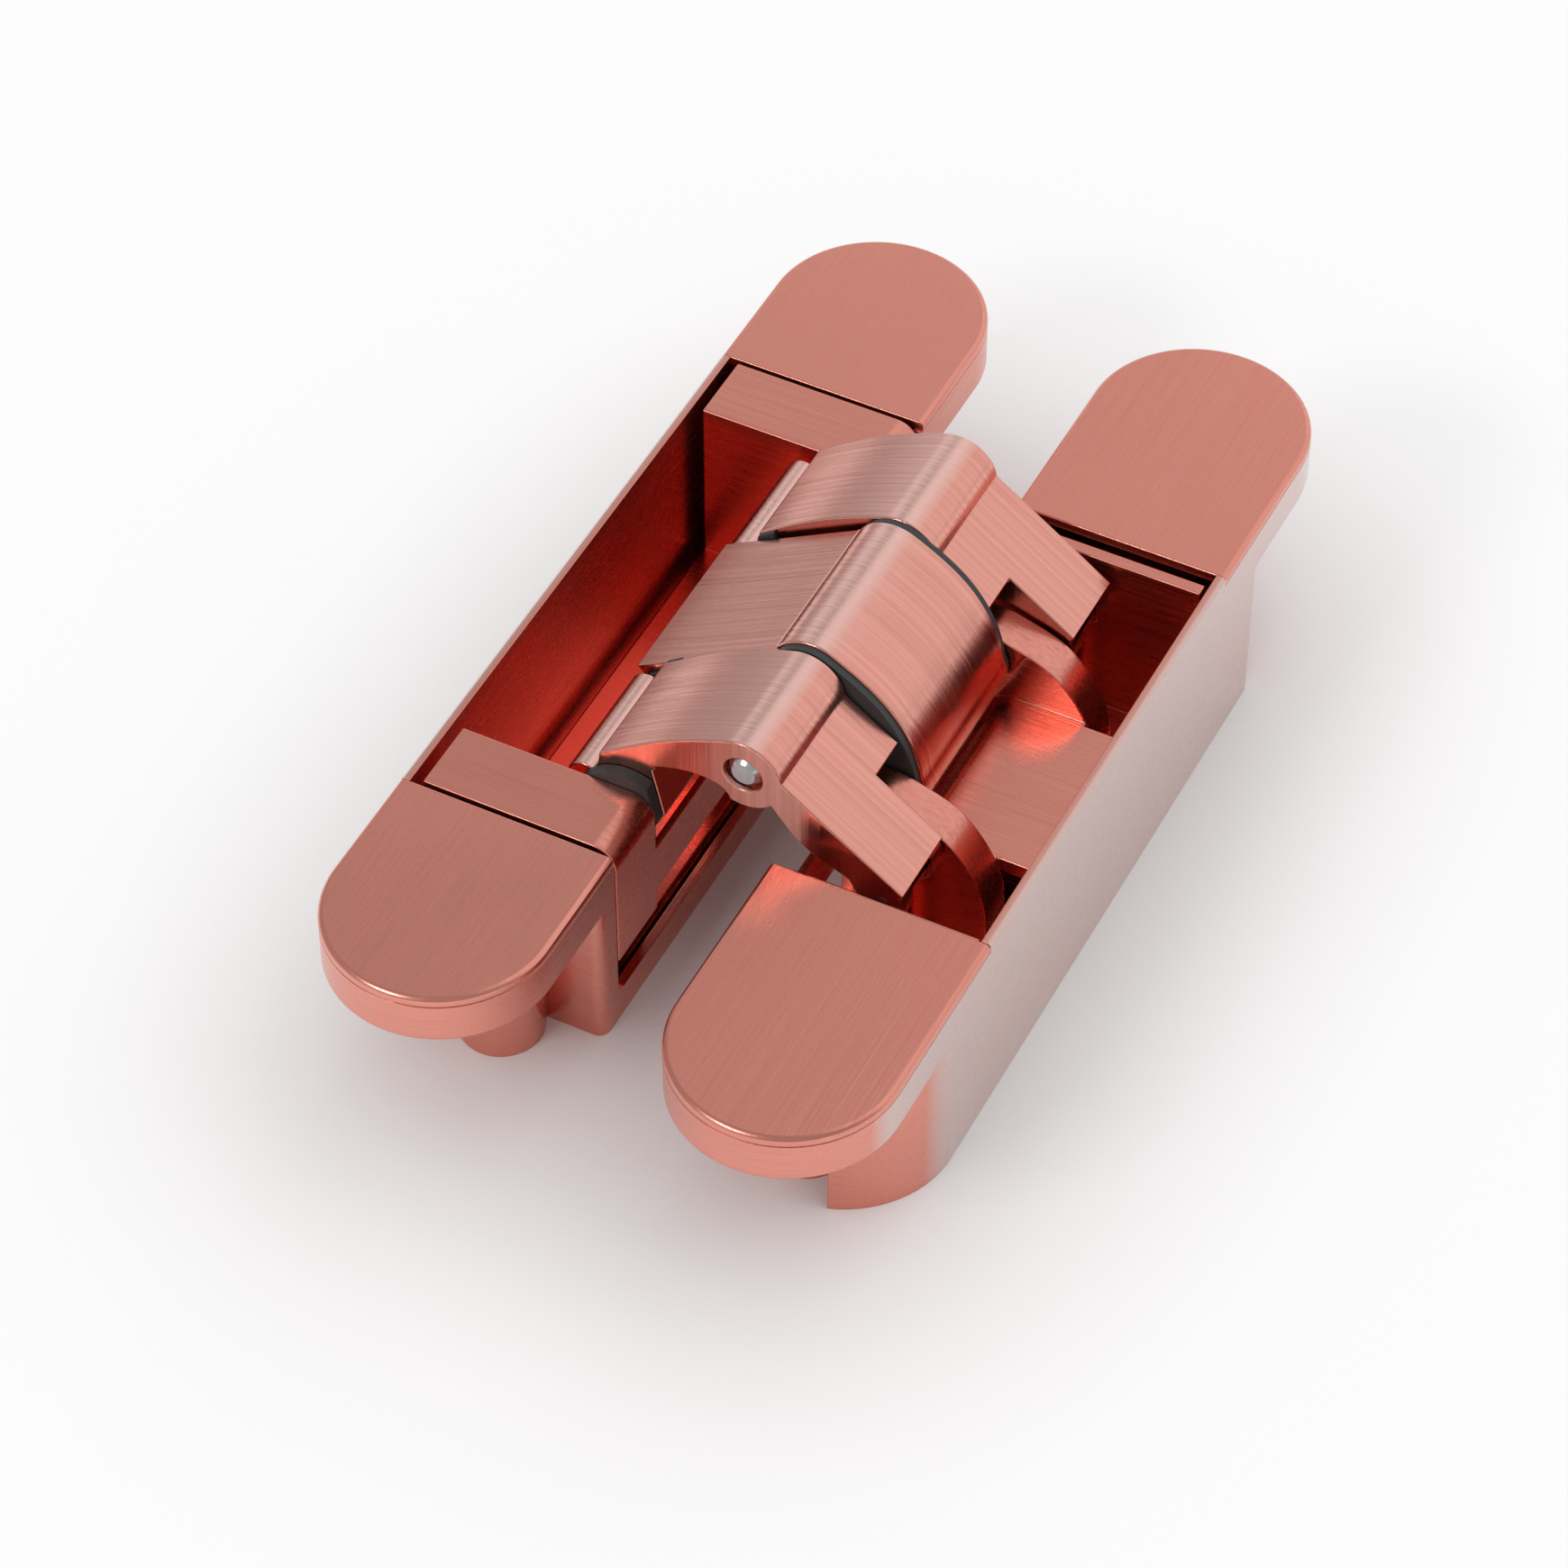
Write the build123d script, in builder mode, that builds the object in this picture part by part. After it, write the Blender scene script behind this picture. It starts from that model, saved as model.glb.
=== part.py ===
"""Concealed door hinge, shown unfolded and lying on the backs of its two leaves."""
import os
from math import cos, radians, sin

from build123d import *

os.makedirs("parts", exist_ok=True)

# Frame: millimetres, +Z up, the origin on the floor under the middle of the hinge.
# The leaves lie side by side along X, their length runs along Y.
# Points of the linkage are (x, z) pairs, z counted from the face of the leaves.

# Leaves
FACE = 28.5                 # height of the faces above the floor
LEAF_LENGTH = 140.0
LEAF_WIDTH = 28.0
LEAF_SPACING = 44.3         # between the centre lines of the two leaves
COVER_THICKNESS = 1.4
FLANGE_THICKNESS = 5.4
COVER_CHAMFER = 0.45
BODY_CORNER = 1.5

# Stations along the leaf, each from the one further out
SCREW_Y = LEAF_LENGTH / 2 - 10.0
PEG_Y = (SCREW_Y - 5.2, SCREW_Y + 6.2)
BARREL_Y = SCREW_Y - 12.7
POCKET_HALF_LENGTH = BARREL_Y - 4.9
BODY_HALF_LENGTH = POCKET_HALF_LENGTH + 1.6
LEFT_COVER_EDGE = POCKET_HALF_LENGTH - 1.9
LEFT_BLOCK_OUTER = POCKET_HALF_LENGTH - 2.5
RIGHT_BLOCK_OUTER = POCKET_HALF_LENGTH - 1.4
PIVOT_PIN_HALF = LEFT_BLOCK_OUTER - 2.4
SHOULDER_CENTRE_Y = BODY_HALF_LENGTH - 2.4

# Pocket in each casing
OUTER_WALL = 1.2
INNER_RAIL_WALL = 1.2
RIM_CHAMFER = 0.4
POCKET_FLOOR = 1.5
SIDE_OPENING_DEPTH = 24.0
SIDE_OPENING_CORNER = 1.5
BARREL_OFFSET = 1.95        # adjuster barrels, from the leaf's centre line towards the gap
BARREL_RADIUS = 5.3
BARREL_BORE = 4.3
BARREL_LEDGE = 5.0          # radius of the step that carries a cam's head
BARREL_LEDGE_DEPTH = 5.0    # below the face
TONGUE_CHANNEL = 7.2
FOOT_HOLE = 1.46            # for the riveted foot of a depth screw
FOOT_SINK = 2.6
FOOT_SINK_DEPTH = 0.7
SHOULDER_FROM_CENTRE = 4.55  # the deeper end covers the outer side from here

# Fixings
SCREW_X = 5.2
SCREW_HOLE_RADIUS = 2.6
SCREW_SINK_RADIUS = 4.8
SCREW_SINK_ANGLE = 90
PEG_RADIUS = 1.6
PEG_LENGTH = 4.0
PEG_CLEARANCE = 0.05

# Pivots
CENTRE_PIVOT = (2.4, 7.6)
LEFT_PIVOT = (-12.3, -5.0)
RIGHT_PIVOT = (13.3, -5.0)
LEG_TAIL_PIVOT = (20.319, -5.412)
MIDDLE_TAIL_PIVOT = (-17.337, -3.537)
RIGHT_LINK_PIVOT = (15.875, -14.147)
LEFT_LINK_PIVOT = (-17.624, -13.368)
CENTRE_PIN_RADIUS = 2.0
LEAF_PIN_RADIUS = 2.2
TAIL_PIN_RADIUS = 1.0
LINK_PIN_RADIUS = 1.1
BUSH_WALL = 0.65
RUNNING_CLEARANCE = 0.06
CREST_RADIUS = 5.1
LEG_EYE = 3.7
ARM_CREST = 5.4
ARM_UNDER = 5.2
ARM_EYE = 4.3
LEG_LIP = ((-16.6, 0.6), (-16.4, 2.3))
LEG_BACK = ((-12.1, 5.5), (-7.4, 8.6), (-2.7, 11.0))
LEG_ARCH = ((-0.17, 4.07), (-2.5, 4.76), (-4.84, 4.68), (-7.2, 4.05), (-8.7, 3.5))
LEG_EDGE = ((-9.3, 2.7), (-7.75, -4.2))
LEG_HEEL = (-18.4, -2.9)
LEG_HEEL_RADIUS = 2.3
LEG_TAIL_END = ((23.1, -3.0), (22.55, -3.7), (22.9, -4.4), (22.9, -6.9))
LEG_TAIL_EYE = 2.9
LEG_UNDER = ((16.0, -3.4), (11.2, -1.3), (8.9, 0.4))
SKIN_UNDER = ((14.4, 3.4), (13.94, 2.75), (7.55, 6.55))
ARM_NOSE = ((7.2, 11.1), (11.9, 7.6), (15.6, 2.2))
ARM_THROAT = (8.4, 0.0)
ARM_TAIL_EDGE = (-20.6, -0.8)
ARM_TAIL_EYE = 2.6
ARM_UNDERSIDE = ((-1.9, 5.0), (-2.4, 3.9), (-4.6, 2.6), (-9.0, 0.3), (-13.0, -1.2))
LEG_SPACER_EDGE = ((-12.9, -1.9), (-14.2, 3.7), (-16.25, 2.15), (-16.45, 0.7), (-18.6, -1.0),
                   (-20.0, -2.9), (-18.6, -4.7), (-13.4, -8.0))
LEG_TAIL_START = (7.3, 8.2)
LEG_TAIL_DIRECTION = (0.816, -0.577)
ARM_TAIL_START = (-1.9, 10.1)
ARM_TAIL_DIRECTION = (-0.864, -0.504)
PIN_SINK = 1.6
PIN_SINK_MARGIN = 0.45
BUSH_GAP = 0.6
FACE_GAP = 0.1
SPACER_INSET = 0.35
SPACER_CLEARANCE = 0.3
LEG_SPACER_INNER = 11.65
BLOCK_SPACER_RADIUS = 6.7
BLOCK_SPACER_TRIM = 0.35
ARM_SPACER_EDGE = -1.85

# Lanes, as distances from the middle plane
NOSE_HALF = 11.1
TAIL_HALF = 11.5
SPACER_OUT = 12.05
LEG_INNER = 12.2
FIN_INNER = 12.35
FIN_OUTER = 17.5
NOTCH = 17.9
LEG_OUTER = 28.6
RIGHT_COVER_EDGE = LEG_OUTER + 4.2
LEFT_BLOCK_INNER = 30.3
RIGHT_FAR_INNER = 29.8
RIGHT_NEAR_INNER = 31.2
RIGHT_STRIP_OUTER = 31.5

# Control links; each has a round eye on the arm and a slotted eye on the leaf
LINK_EYE = 2.2
LINK_BAR_HALF = 1.5
LINK_WALL = 0.8
SLOT_PLAY = 0.12
LEFT_LINK_REACH = 10.352
LEFT_LINK_ANGLE = 261.49
LEFT_LINK_SWING = 0.52      # half of the play along the link
LEFT_LINK_TRAVEL = 1.27     # half of the play across the link
RIGHT_LINK_REACH = 10.232
RIGHT_LINK_ANGLE = 250.54
RIGHT_LINK_SWING = 0.44
RIGHT_LINK_TRAVEL = 1.36
LEFT_LINK_HALF = 2.6
LEFT_FORK_HALF = 2.85
LEFT_LUG_OUT = 6.0
RIGHT_LINK_LANE = (21.4, 25.2)
RIGHT_FORK_LANE = (21.15, 25.45)
RIGHT_LUG_INNER = 18.0
LUG_RADIUS = 3.0
TAIL_PLATE = 1.1            # left over the slit in each arm

# Carriers
LEFT_BLOCK_X = 33.6
RIGHT_BLOCK_X = 34.1
RIGHT_BLOCK_FLANK = 9.65     # behind the casing's side wall
BLOCK_ROUND = 3.2
BLOCK_STEP_X = 10.5         # the lower part of a block clears the casing's rail
BLOCK_STEP_Z = -18.8
LEFT_BOTTOM = -25.8
LEFT_FLOOR_TOP = -24.0
RIGHT_BOTTOM = -26.8
RIGHT_FLOOR_TOP = -25.6
STRIP_TOP = -1.0
FAR_BLOCK_TOP = -2.8
NEAR_BLOCK_TOP = -1.7       # passes under the near cover
FIN_SLOT = (19.6, 33.0)     # slot in the floor beside each fin, from x to x
FIN_SLOT_WIDTH = 1.0
BRIDGE_THICKNESS = 0.9
BRIDGE_TOP = -8.4
BRIDGE_BOTTOM = -15.75
PLATE_TOP = -10.3
PLATE_THICKNESS = 2.2
PLATE_BEND = (18.3, -14.1)
PLATE_NECK_X = 27.6
PLATE_NECK = 0.4            # taken off each edge of the plate
FIN_EDGE = ((9.7, -4.0), (11.0, -2.0), (13.3, -1.15), (17.0, -1.8), (22.4, -3.9), (25.6, -7.1),
            (27.8, -11.2), (28.7, -16.0))
FIN_FOOT = 29.0
TONGUE_TOP = -9.0
TONGUE_BOTTOM = -15.0
TONGUE_RADIUS = 3.1

# Adjusters
DEPTH_SCREW_RADIUS = 2.0
DEPTH_SCREW_TOP = -4.5
DEPTH_SHOULDER_RADIUS = 3.2
DEPTH_SHOULDER = 1.0
RIVET_RADIUS = 2.4
RIVET_THICKNESS = 0.6
CAM_OFFSET = 1.5
CAM_PIN_RADIUS = 1.0
CAM_PIN_BOTTOM = -15.6
CAM_HEAD_RADIUS = 4.85
CAM_HEAD_TOP = -3.2
CAM_DRUM_BOTTOM = -8.7
CAM_SLOT_PLAY = 0.1
CAM_SLOT_MIDDLE = 1.325     # middle of the path the cam's pin takes, from the axis
CAM_SLOT_LENGTH = 0.45
HEX_RADIUS = 1.45
CAM_HEX_RADIUS = 2.3
HEX_DEPTH = 2.0

CENTRE_X = LEAF_SPACING / 2
HALF_WIDTH = LEAF_WIDTH / 2
OUTER_X = CENTRE_X + HALF_WIDTH
INNER_X = CENTRE_X - HALF_WIDTH
FLANGE_TOP = FACE - COVER_THICKNESS
FLANGE_BOTTOM = FLANGE_TOP - FLANGE_THICKNESS


def around(centre, radius, angle):
    """Point of a circle round a pivot, as (x, z)."""
    return (centre[0] + radius * cos(radians(angle)), centre[1] + radius * sin(radians(angle)))


def up(point):
    """The same point counted from the floor."""
    return (point[0], point[1] + FACE)


def lane(y_high):
    """Sketch plane across the leaves; extrusions from it run towards lower Y."""
    return Plane.XZ.offset(-y_high)


def arc(centre, radius, start, end):
    """Arc between two angles round a pivot."""
    middle = (start + end) / 2
    ThreePointArc(up(around(centre, radius, start)), up(around(centre, radius, middle)),
                  up(around(centre, radius, end)))


def run(*points):
    """Straight lines through the points."""
    Polyline(*[up(p) for p in points])


def curve(*points):
    """Smooth line through the points."""
    Spline(*[up(p) for p in points])


def save(part, name):
    part.label = name
    export_step(part, f"parts/{name}.step")


# Casings
def make_casing(side, cover_edge):
    """One die-cast casing; side is -1 on the left and 1 on the right."""
    centre = side * CENTRE_X
    outer = side * OUTER_X
    inner = side * INNER_X
    barrels = [(centre - side * BARREL_OFFSET, end * BARREL_Y) for end in (-1, 1)]
    with BuildPart() as casing:
        # Flange with half-round ends
        with BuildSketch(Plane.XY.offset(FLANGE_BOTTOM)):
            with Locations((centre, 0)):
                SlotOverall(LEAF_LENGTH, LEAF_WIDTH, rotation=90)
        extrude(amount=FLANGE_THICKNESS)
        # Deep body
        with BuildSketch(Plane.XY):
            with Locations((centre, 0)):
                RectangleRounded(LEAF_WIDTH, 2 * BODY_HALF_LENGTH, BODY_CORNER)
            with Locations(*barrels):
                Circle(BARREL_RADIUS)
        extrude(amount=FLANGE_BOTTOM)
        # Deeper shoulder on the outer side of the right leaf's near end
        if side > 0:
            shoulder = HALF_WIDTH - SHOULDER_FROM_CENTRE
            with BuildSketch(Plane.XY):
                with Locations((centre, -SHOULDER_CENTRE_Y)):
                    Circle(HALF_WIDTH)
                with Locations((outer - shoulder / 2, -SHOULDER_CENTRE_Y - HALF_WIDTH / 2)):
                    Rectangle(shoulder, HALF_WIDTH, mode=Mode.INTERSECT)
            extrude(amount=FLANGE_BOTTOM)
        # Outer wall between the covers reaches the face
        with BuildSketch(Plane.XY.offset(FLANGE_TOP)):
            with Locations((outer - side * OUTER_WALL / 2, 0)):
                Rectangle(OUTER_WALL, 2 * cover_edge)
        extrude(amount=COVER_THICKNESS)
        rim = casing.edges().filter_by(Axis.Y).filter_by_position(
            Axis.Z, FACE - 0.01, FACE + 0.01).sort_by(Axis.X)
        chamfer(rim[0] if side < 0 else rim[-1], RIM_CHAMFER)
        # Pocket
        pocket = LEAF_WIDTH - OUTER_WALL - INNER_RAIL_WALL
        with BuildSketch(Plane.XY.offset(POCKET_FLOOR)):
            with Locations((centre + side * (INNER_RAIL_WALL - OUTER_WALL) / 2, 0)):
                Rectangle(pocket, 2 * POCKET_HALF_LENGTH)
        extrude(amount=FACE, mode=Mode.SUBTRACT)
        # Opening in the side that faces the other leaf
        opening = cover_edge - 0.2
        with BuildSketch(Plane.YZ.offset(inner - 2 * INNER_RAIL_WALL)):
            with Locations((0, FACE - SIDE_OPENING_DEPTH / 2 + SIDE_OPENING_CORNER)):
                RectangleRounded(2 * opening, SIDE_OPENING_DEPTH + 2 * SIDE_OPENING_CORNER,
                                 SIDE_OPENING_CORNER)
        extrude(amount=4 * INNER_RAIL_WALL, mode=Mode.SUBTRACT)
        # Adjuster barrels, open to the pocket through a slot for the carrier's tongue
        with BuildSketch(Plane.XY.offset(POCKET_FLOOR)):
            with Locations(*barrels):
                Circle(BARREL_BORE)
            for end in (-1, 1):
                with Locations((barrels[0][0], end * (POCKET_HALF_LENGTH + BARREL_Y) / 2)):
                    Rectangle(TONGUE_CHANNEL, BARREL_Y - POCKET_HALF_LENGTH + 1)
        extrude(amount=FACE, mode=Mode.SUBTRACT)
        with BuildSketch(Plane.XY.offset(FACE - BARREL_LEDGE_DEPTH)):
            with Locations(*barrels):
                Circle(BARREL_LEDGE)
        extrude(amount=FACE, mode=Mode.SUBTRACT)
        # Holes for the feet of the adjusters, countersunk for the riveted ends
        if side < 0:
            with BuildSketch(Plane.XY):
                with Locations(*barrels):
                    Circle(FOOT_HOLE)
            extrude(amount=POCKET_FLOOR, mode=Mode.SUBTRACT)
            with BuildSketch(Plane.XY):
                with Locations(*barrels):
                    Circle(FOOT_SINK)
            extrude(amount=FOOT_SINK_DEPTH, mode=Mode.SUBTRACT)
        # Countersunk screw holes
        holes = [(centre + i * SCREW_X, j * SCREW_Y) for i in (-1, 1) for j in (-1, 1)]
        with Locations(*[(x, y, FLANGE_TOP) for x, y in holes]):
            CounterSinkHole(SCREW_HOLE_RADIUS, SCREW_SINK_RADIUS, depth=FACE,
                            counter_sink_angle=SCREW_SINK_ANGLE)
        # Holes for the pegs of the covers
        with Locations(*[(centre, j * y, FLANGE_TOP) for y in PEG_Y for j in (-1, 1)]):
            Hole(PEG_RADIUS + PEG_CLEARANCE, depth=PEG_LENGTH + 0.4)
    return casing.part


def make_cover(side, end, cover_edge):
    """Cover plate of one leaf end, with two pegs underneath."""
    centre = side * CENTRE_X
    length = LEAF_LENGTH / 2 - cover_edge
    with BuildPart() as cover:
        with BuildSketch(Plane.XY.offset(FLANGE_TOP)):
            with Locations((centre, 0)):
                SlotOverall(LEAF_LENGTH, LEAF_WIDTH, rotation=90)
            with Locations((centre, end * (cover_edge + length / 2))):
                Rectangle(LEAF_WIDTH, length, mode=Mode.INTERSECT)
        extrude(amount=COVER_THICKNESS)
        top = cover.faces().sort_by(Axis.Z)[-1].edges()
        chamfer(top.filter_by(lambda e: abs(e.center().Y) > cover_edge + 0.1), COVER_CHAMFER)
        with BuildSketch(Plane.XY.offset(FLANGE_TOP - PEG_LENGTH)):
            with Locations(*[(centre, end * y) for y in PEG_Y]):
                Circle(PEG_RADIUS)
        extrude(amount=PEG_LENGTH)
    return cover.part


left_casing = make_casing(-1, LEFT_COVER_EDGE)
save(left_casing, "left_casing")
right_casing = make_casing(1, RIGHT_COVER_EDGE)
save(right_casing, "right_casing")
save(make_cover(-1, -1, LEFT_COVER_EDGE), "left_cover_lower")
save(make_cover(-1, 1, LEFT_COVER_EDGE), "left_cover_upper")
save(make_cover(1, -1, RIGHT_COVER_EDGE), "right_cover_lower")
save(make_cover(1, 1, RIGHT_COVER_EDGE), "right_cover_upper")


# Outlines of the linkage
def leg_back():
    """Upper edge of a leg, from its lip over the rounded crest."""
    run(*LEG_LIP)
    curve(LEG_LIP[1], *LEG_BACK, around(CENTRE_PIVOT, CREST_RADIUS, 112))


def leg_arch():
    """Under edge of a leg, from the crest down beside the pivot eye to the lip."""
    curve(around(CENTRE_PIVOT, CREST_RADIUS, -110), *LEG_ARCH)
    run(LEG_ARCH[-1], *LEG_EDGE, around(LEFT_PIVOT, LEG_EYE, -40))
    arc(LEFT_PIVOT, LEG_EYE, -40, -95)
    run(around(LEFT_PIVOT, LEG_EYE, -95), around(LEG_HEEL, LEG_HEEL_RADIUS, -120))
    arc(LEG_HEEL, LEG_HEEL_RADIUS, -120, -300)
    run(around(LEG_HEEL, LEG_HEEL_RADIUS, -300), LEG_LIP[0])


def leg_profile():
    """Whole outline of a leg."""
    leg_back()
    arc(CENTRE_PIVOT, CREST_RADIUS, 112, 8)
    run(around(CENTRE_PIVOT, CREST_RADIUS, 8), *LEG_TAIL_END,
        around(LEG_TAIL_PIVOT, LEG_TAIL_EYE, -50))
    arc(LEG_TAIL_PIVOT, LEG_TAIL_EYE, -50, -150)
    run(around(LEG_TAIL_PIVOT, LEG_TAIL_EYE, -150), *LEG_UNDER,
        around(CENTRE_PIVOT, CREST_RADIUS, -45))
    arc(CENTRE_PIVOT, CREST_RADIUS, -45, -110)
    leg_arch()


def leg_skin_profile():
    """Outline beside the fins, where the tail is only a thin skin."""
    leg_back()
    arc(CENTRE_PIVOT, CREST_RADIUS, 112, 8)
    run(around(CENTRE_PIVOT, CREST_RADIUS, 8), *SKIN_UNDER, around(CENTRE_PIVOT, CREST_RADIUS, -25))
    arc(CENTRE_PIVOT, CREST_RADIUS, -25, -110)
    leg_arch()


def arm_nose(inset=0):
    """Crest and nose of the middle arm, drawn inwards by the inset."""
    crest = ARM_CREST - inset
    eye = ARM_EYE - inset
    under = ARM_UNDER - inset
    diagonal = 0.7 * inset
    high, middle, low = ARM_NOSE
    arc(CENTRE_PIVOT, crest, 150, 60)
    curve(around(CENTRE_PIVOT, crest, 60), (high[0] - diagonal / 2, high[1] - inset),
          (middle[0] - diagonal, middle[1] - diagonal), (low[0] - inset, low[1] - diagonal / 2),
          around(RIGHT_PIVOT, eye, 30))
    arc(RIGHT_PIVOT, eye, 30, -150)
    run(around(RIGHT_PIVOT, eye, -150), (ARM_THROAT[0] + diagonal, ARM_THROAT[1]),
        around(CENTRE_PIVOT, under, -60))
    arc(CENTRE_PIVOT, under, -60, -210)
    run(around(CENTRE_PIVOT, under, -210), around(CENTRE_PIVOT, crest, 150))


def on_tail(start, direction, along, below):
    """Point given by its distance along a tail and below its upper face."""
    length = (direction[0] ** 2 + direction[1] ** 2) ** 0.5
    tx = direction[0] / length
    tz = direction[1] / length
    down = 1 if tx > 0 else -1
    return (start[0] + along * tx + below * tz * down, start[1] + along * tz - below * tx * down)


# Legs
def make_leg(end):
    """Outer leg; end is -1 for the near one and 1 for the far one."""
    inner = min(end * LEG_INNER, end * NOTCH)
    outer = min(end * NOTCH, end * LEG_OUTER)
    with BuildPart() as leg:
        with BuildSketch(lane(inner + NOTCH - LEG_INNER)):
            with BuildLine():
                leg_skin_profile()
            make_face()
        extrude(amount=NOTCH - LEG_INNER)
        with BuildSketch(lane(outer + LEG_OUTER - NOTCH)):
            with BuildLine():
                leg_profile()
            make_face()
        extrude(amount=LEG_OUTER - NOTCH)
        # Slit for the control link under the tail
        slit_low = min(end * RIGHT_FORK_LANE[0], end * RIGHT_FORK_LANE[1])
        slit = RIGHT_FORK_LANE[1] - RIGHT_FORK_LANE[0]
        with BuildSketch(lane(slit_low + slit)):
            with BuildLine():
                corners = [on_tail(LEG_TAIL_START, LEG_TAIL_DIRECTION, a, b)
                           for a, b in ((14.9, TAIL_PLATE), (26, TAIL_PLATE), (26, 14), (14.9, 14))]
                run(*corners, corners[0])
            make_face()
        extrude(amount=slit, mode=Mode.SUBTRACT)
        # Bores
        with BuildSketch(lane(outer + LEG_OUTER)):
            with Locations(up(CENTRE_PIVOT)):
                Circle(CENTRE_PIN_RADIUS)
            with Locations(up(LEFT_PIVOT)):
                Circle(LEAF_PIN_RADIUS + RUNNING_CLEARANCE + BUSH_WALL)
            with Locations(up(LEG_TAIL_PIVOT)):
                Circle(TAIL_PIN_RADIUS)
        extrude(amount=2 * LEG_OUTER, mode=Mode.SUBTRACT)
        with BuildSketch(lane(max(end * LEG_OUTER, end * (LEG_OUTER - PIN_SINK)))):
            with Locations(up(CENTRE_PIVOT)):
                Circle(CENTRE_PIN_RADIUS + PIN_SINK_MARGIN)
        extrude(amount=PIN_SINK, mode=Mode.SUBTRACT)
    return leg.part


save(make_leg(-1), "outer_leg_lower")
save(make_leg(1), "outer_leg_upper")


def rod(centre, radius, y_low, y_high, bore=0):
    """Round bar or sleeve along Y."""
    with BuildPart() as bar:
        with BuildSketch(lane(y_high)):
            with Locations(up(centre)):
                Circle(radius)
                if bore:
                    Circle(bore, mode=Mode.SUBTRACT)
        extrude(amount=y_high - y_low)
    return bar.part


def pair(centre, radius, y_near, y_far, bore=0):
    """The same bar on both sides of the middle plane."""
    bars = [rod(centre, radius, y_near, y_far, bore), rod(centre, radius, -y_far, -y_near, bore)]
    return Compound(children=bars)


# Pins and bushes
centre_pin = rod(CENTRE_PIVOT, CENTRE_PIN_RADIUS, -LEG_OUTER + 0.2, LEG_OUTER - 0.2)
centre_pin = chamfer(centre_pin.edges().filter_by(GeomType.CIRCLE), 0.5)
save(centre_pin, "centre_pin")
left_pivot_pin = rod(LEFT_PIVOT, LEAF_PIN_RADIUS, -PIVOT_PIN_HALF, PIVOT_PIN_HALF)
save(left_pivot_pin, "left_pivot_pin")
save(rod(RIGHT_PIVOT, LEAF_PIN_RADIUS, -FIN_OUTER, FIN_OUTER), "right_pivot_pin")
save(rod(MIDDLE_TAIL_PIVOT, TAIL_PIN_RADIUS, -TAIL_HALF + 1, TAIL_HALF - 1), "middle_tail_pin")
save(pair(LEG_TAIL_PIVOT, TAIL_PIN_RADIUS, NOTCH + 0.3, LEG_OUTER), "leg_tail_pins")
save(rod(LEFT_LINK_PIVOT, LINK_PIN_RADIUS, -LEFT_LUG_OUT, LEFT_LUG_OUT), "left_link_pin")
save(pair(RIGHT_LINK_PIVOT, LINK_PIN_RADIUS, RIGHT_LUG_INNER, LEG_OUTER), "right_link_pins")
leaf_bore = LEAF_PIN_RADIUS + RUNNING_CLEARANCE
save(pair(LEFT_PIVOT, leaf_bore + BUSH_WALL, LEG_INNER, LEG_OUTER, leaf_bore), "leg_pivot_bushes")
save(pair(RIGHT_PIVOT, leaf_bore + BUSH_WALL, BUSH_GAP, NOSE_HALF, leaf_bore), "middle_pivot_bushes")
centre_bore = CENTRE_PIN_RADIUS + RUNNING_CLEARANCE
save(pair(CENTRE_PIVOT, centre_bore + BUSH_WALL, BUSH_GAP, NOSE_HALF, centre_bore), "centre_bushes")


# Middle arm
with BuildPart() as middle_arm:
    with BuildSketch(lane(NOSE_HALF)):
        with BuildLine():
            arm_nose()
        make_face()
    extrude(amount=2 * NOSE_HALF)
    with BuildSketch(lane(TAIL_HALF)):
        with BuildLine():
            run(ARM_TAIL_EDGE, ARM_TAIL_START, *ARM_UNDERSIDE,
                around(MIDDLE_TAIL_PIVOT, ARM_TAIL_EYE, -60))
            arc(MIDDLE_TAIL_PIVOT, ARM_TAIL_EYE, -60, -215)
            run(around(MIDDLE_TAIL_PIVOT, ARM_TAIL_EYE, -215), ARM_TAIL_EDGE)
        make_face()
    extrude(amount=2 * TAIL_HALF)
    # Slit for the control link under the tail
    with BuildSketch(lane(LEFT_FORK_HALF)):
        with BuildLine():
            corners = [on_tail(ARM_TAIL_START, ARM_TAIL_DIRECTION, a, b)
                       for a, b in ((17.2, TAIL_PLATE), (26, TAIL_PLATE), (26, 14), (17.2, 14))]
            run(*corners, corners[0])
        make_face()
    extrude(amount=2 * LEFT_FORK_HALF, mode=Mode.SUBTRACT)
    # Bores
    with BuildSketch(lane(TAIL_HALF)):
        with Locations(up(CENTRE_PIVOT)):
            Circle(centre_bore + BUSH_WALL)
        with Locations(up(RIGHT_PIVOT)):
            Circle(leaf_bore + BUSH_WALL)
    extrude(amount=2 * TAIL_HALF, mode=Mode.SUBTRACT)
    with BuildSketch(lane(TAIL_HALF - 1)):
        with Locations(up(MIDDLE_TAIL_PIVOT)):
            Circle(TAIL_PIN_RADIUS)
    extrude(amount=2 * TAIL_HALF - 2, mode=Mode.SUBTRACT)
save(middle_arm.part, "middle_arm")


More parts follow.
